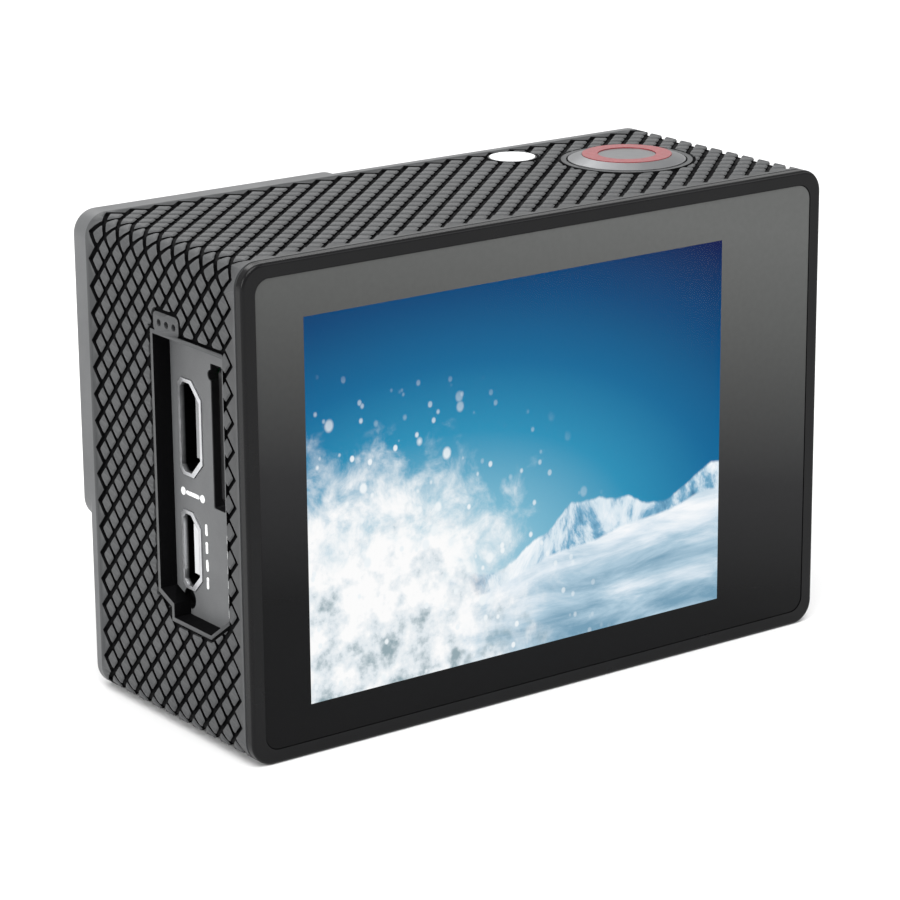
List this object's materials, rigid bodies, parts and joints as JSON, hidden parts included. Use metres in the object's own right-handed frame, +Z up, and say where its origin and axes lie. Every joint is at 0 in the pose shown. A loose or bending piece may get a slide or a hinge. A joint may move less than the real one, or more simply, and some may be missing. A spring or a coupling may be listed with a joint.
{
  "type": "action camera",
  "caption": "Pocket action camera with a textured case, rear screen, side ports, push buttons and a hinged battery door under it.",
  "frame": {"origin": "on the base plane, under the middle of the overall width and depth", "axes": "+Z up, lens along -Y, screen on +Y, ports on +X, up and down keys on -X"},
  "size_m": [0.0598, 0.0294, 0.0416],
  "materials": {
    "case_plastic": "fine texture, painted grey",
    "cover_plastic": "fine satin grey",
    "trim_plate": "satin dark grey",
    "black_gloss": "polished black",
    "black_plastic": "moulded black",
    "clear_glass": "polished, coated",
    "mask_ink": "printed black",
    "display": "liquid crystal panel, lit",
    "steel": "stamped, plated",
    "silver_cap": "spun, satin",
    "red_ring": "moulded red",
    "lamp_plastic": "milky, translucent",
    "circuit_board": "green solder mask",
    "chip": "moulded epoxy",
    "gold_contact": "gold plated",
    "ribbon": "amber film",
    "battery_wrap": "cell in a can, wrapped in grey film",
    "foam": "closed cell",
    "card_plastic": "moulded black"
  },
  "bodies": {
    "camera": {"front_cover": "cover_plastic", "face_plate": "trim_plate", "status_window": "black_gloss", "status_display": "display", "side_housing": "case_plastic", "rear_cover": "black_gloss", "screen_window": "clear_glass", "window_mask": "mask_ink", "lcd_panel": "display", "backlight_tray": "steel", "light_guide": "lamp_plastic", "screen_ribbon": "ribbon", "ribbon_connector": "chip", "main_board": "circuit_board", "processor": "chip", "memory_chips": "chip", "board_parts": "chip", "port_panel": "cover_plastic", "usb_shell": "steel", "usb_tongue": "black_plastic", "hdmi_shell": "steel", "hdmi_tongue": "gold_contact", "card_socket": "steel", "lens_ring": "black_gloss", "lens_cone": "black_plastic", "front_glass": "clear_glass", "inner_glasses": "clear_glass", "lens_barrel": "black_plastic", "lens_holder": "black_plastic", "infrared_filter": "clear_glass", "image_sensor": "chip", "sensor_board": "circuit_board", "sensor_connector": "chip", "shutter_switch": "steel", "top_board": "circuit_board", "status_lamp": "lamp_plastic", "lamp_led": "lamp_plastic", "mode_switch": "steel", "front_board": "circuit_board", "key_boards": "circuit_board", "key_switches": "steel", "speaker": "black_plastic", "microphone": "steel", "battery_bay": "black_plastic", "bay_terminals": "gold_contact", "hinge_pin": "steel", "front_screws": "steel"},
    "shutter": {"shutter_cap": "silver_cap", "shutter_ring": "red_ring", "shutter_centre": "silver_cap"},
    "mode": {"mode_button": "silver_cap"},
    "up": {"up_key": "black_plastic"},
    "down": {"down_key": "black_plastic"},
    "door": {"battery_door": "case_plastic", "door_pad": "foam"},
    "latch": {"door_latch": "black_plastic"},
    "battery_pack": {"battery": "battery_wrap", "battery_cap": "black_plastic", "battery_contacts": "gold_contact"},
    "card": {"memory_card": "card_plastic"}
  },
  "joints": [
    {"name": "shutter_press", "type": "slide", "parent": "camera", "child": "shutter", "axis": [0, 0, -1], "range_m": [0, 0.0005], "stiffness_N_per_m": 400},
    {"name": "mode_press", "type": "slide", "parent": "camera", "child": "mode", "axis": [0, 1, 0], "range_m": [0, 0.0005], "stiffness_N_per_m": 400},
    {"name": "up_press", "type": "slide", "parent": "camera", "child": "up", "axis": [1, 0, 0], "range_m": [0, 0.0005], "stiffness_N_per_m": 400},
    {"name": "down_press", "type": "slide", "parent": "camera", "child": "down", "axis": [1, 0, 0], "range_m": [0, 0.0005], "stiffness_N_per_m": 400},
    {"name": "door_hinge", "type": "hinge", "parent": "camera", "child": "door", "pos_m": [0.0086, 0, 0.0008], "axis": [0, -1, 0], "range_deg": [0, 100]},
    {"name": "latch_slide", "type": "slide", "parent": "door", "child": "latch", "axis": [1, 0, 0], "range_m": [0, 0.0012]},
    {"name": "battery_slide", "type": "slide", "parent": "camera", "child": "battery_pack", "axis": [0, 0, -1], "range_m": [0, 0.0035]},
    {"name": "card_slide", "type": "slide", "parent": "camera", "child": "card", "axis": [1, 0, 0], "range_m": [-0.0006, 0.012]}
  ],
  "couplings": [
    {"joint": "door_hinge", "follows": "battery_slide", "rad_per_m": 498.6}
  ]
}
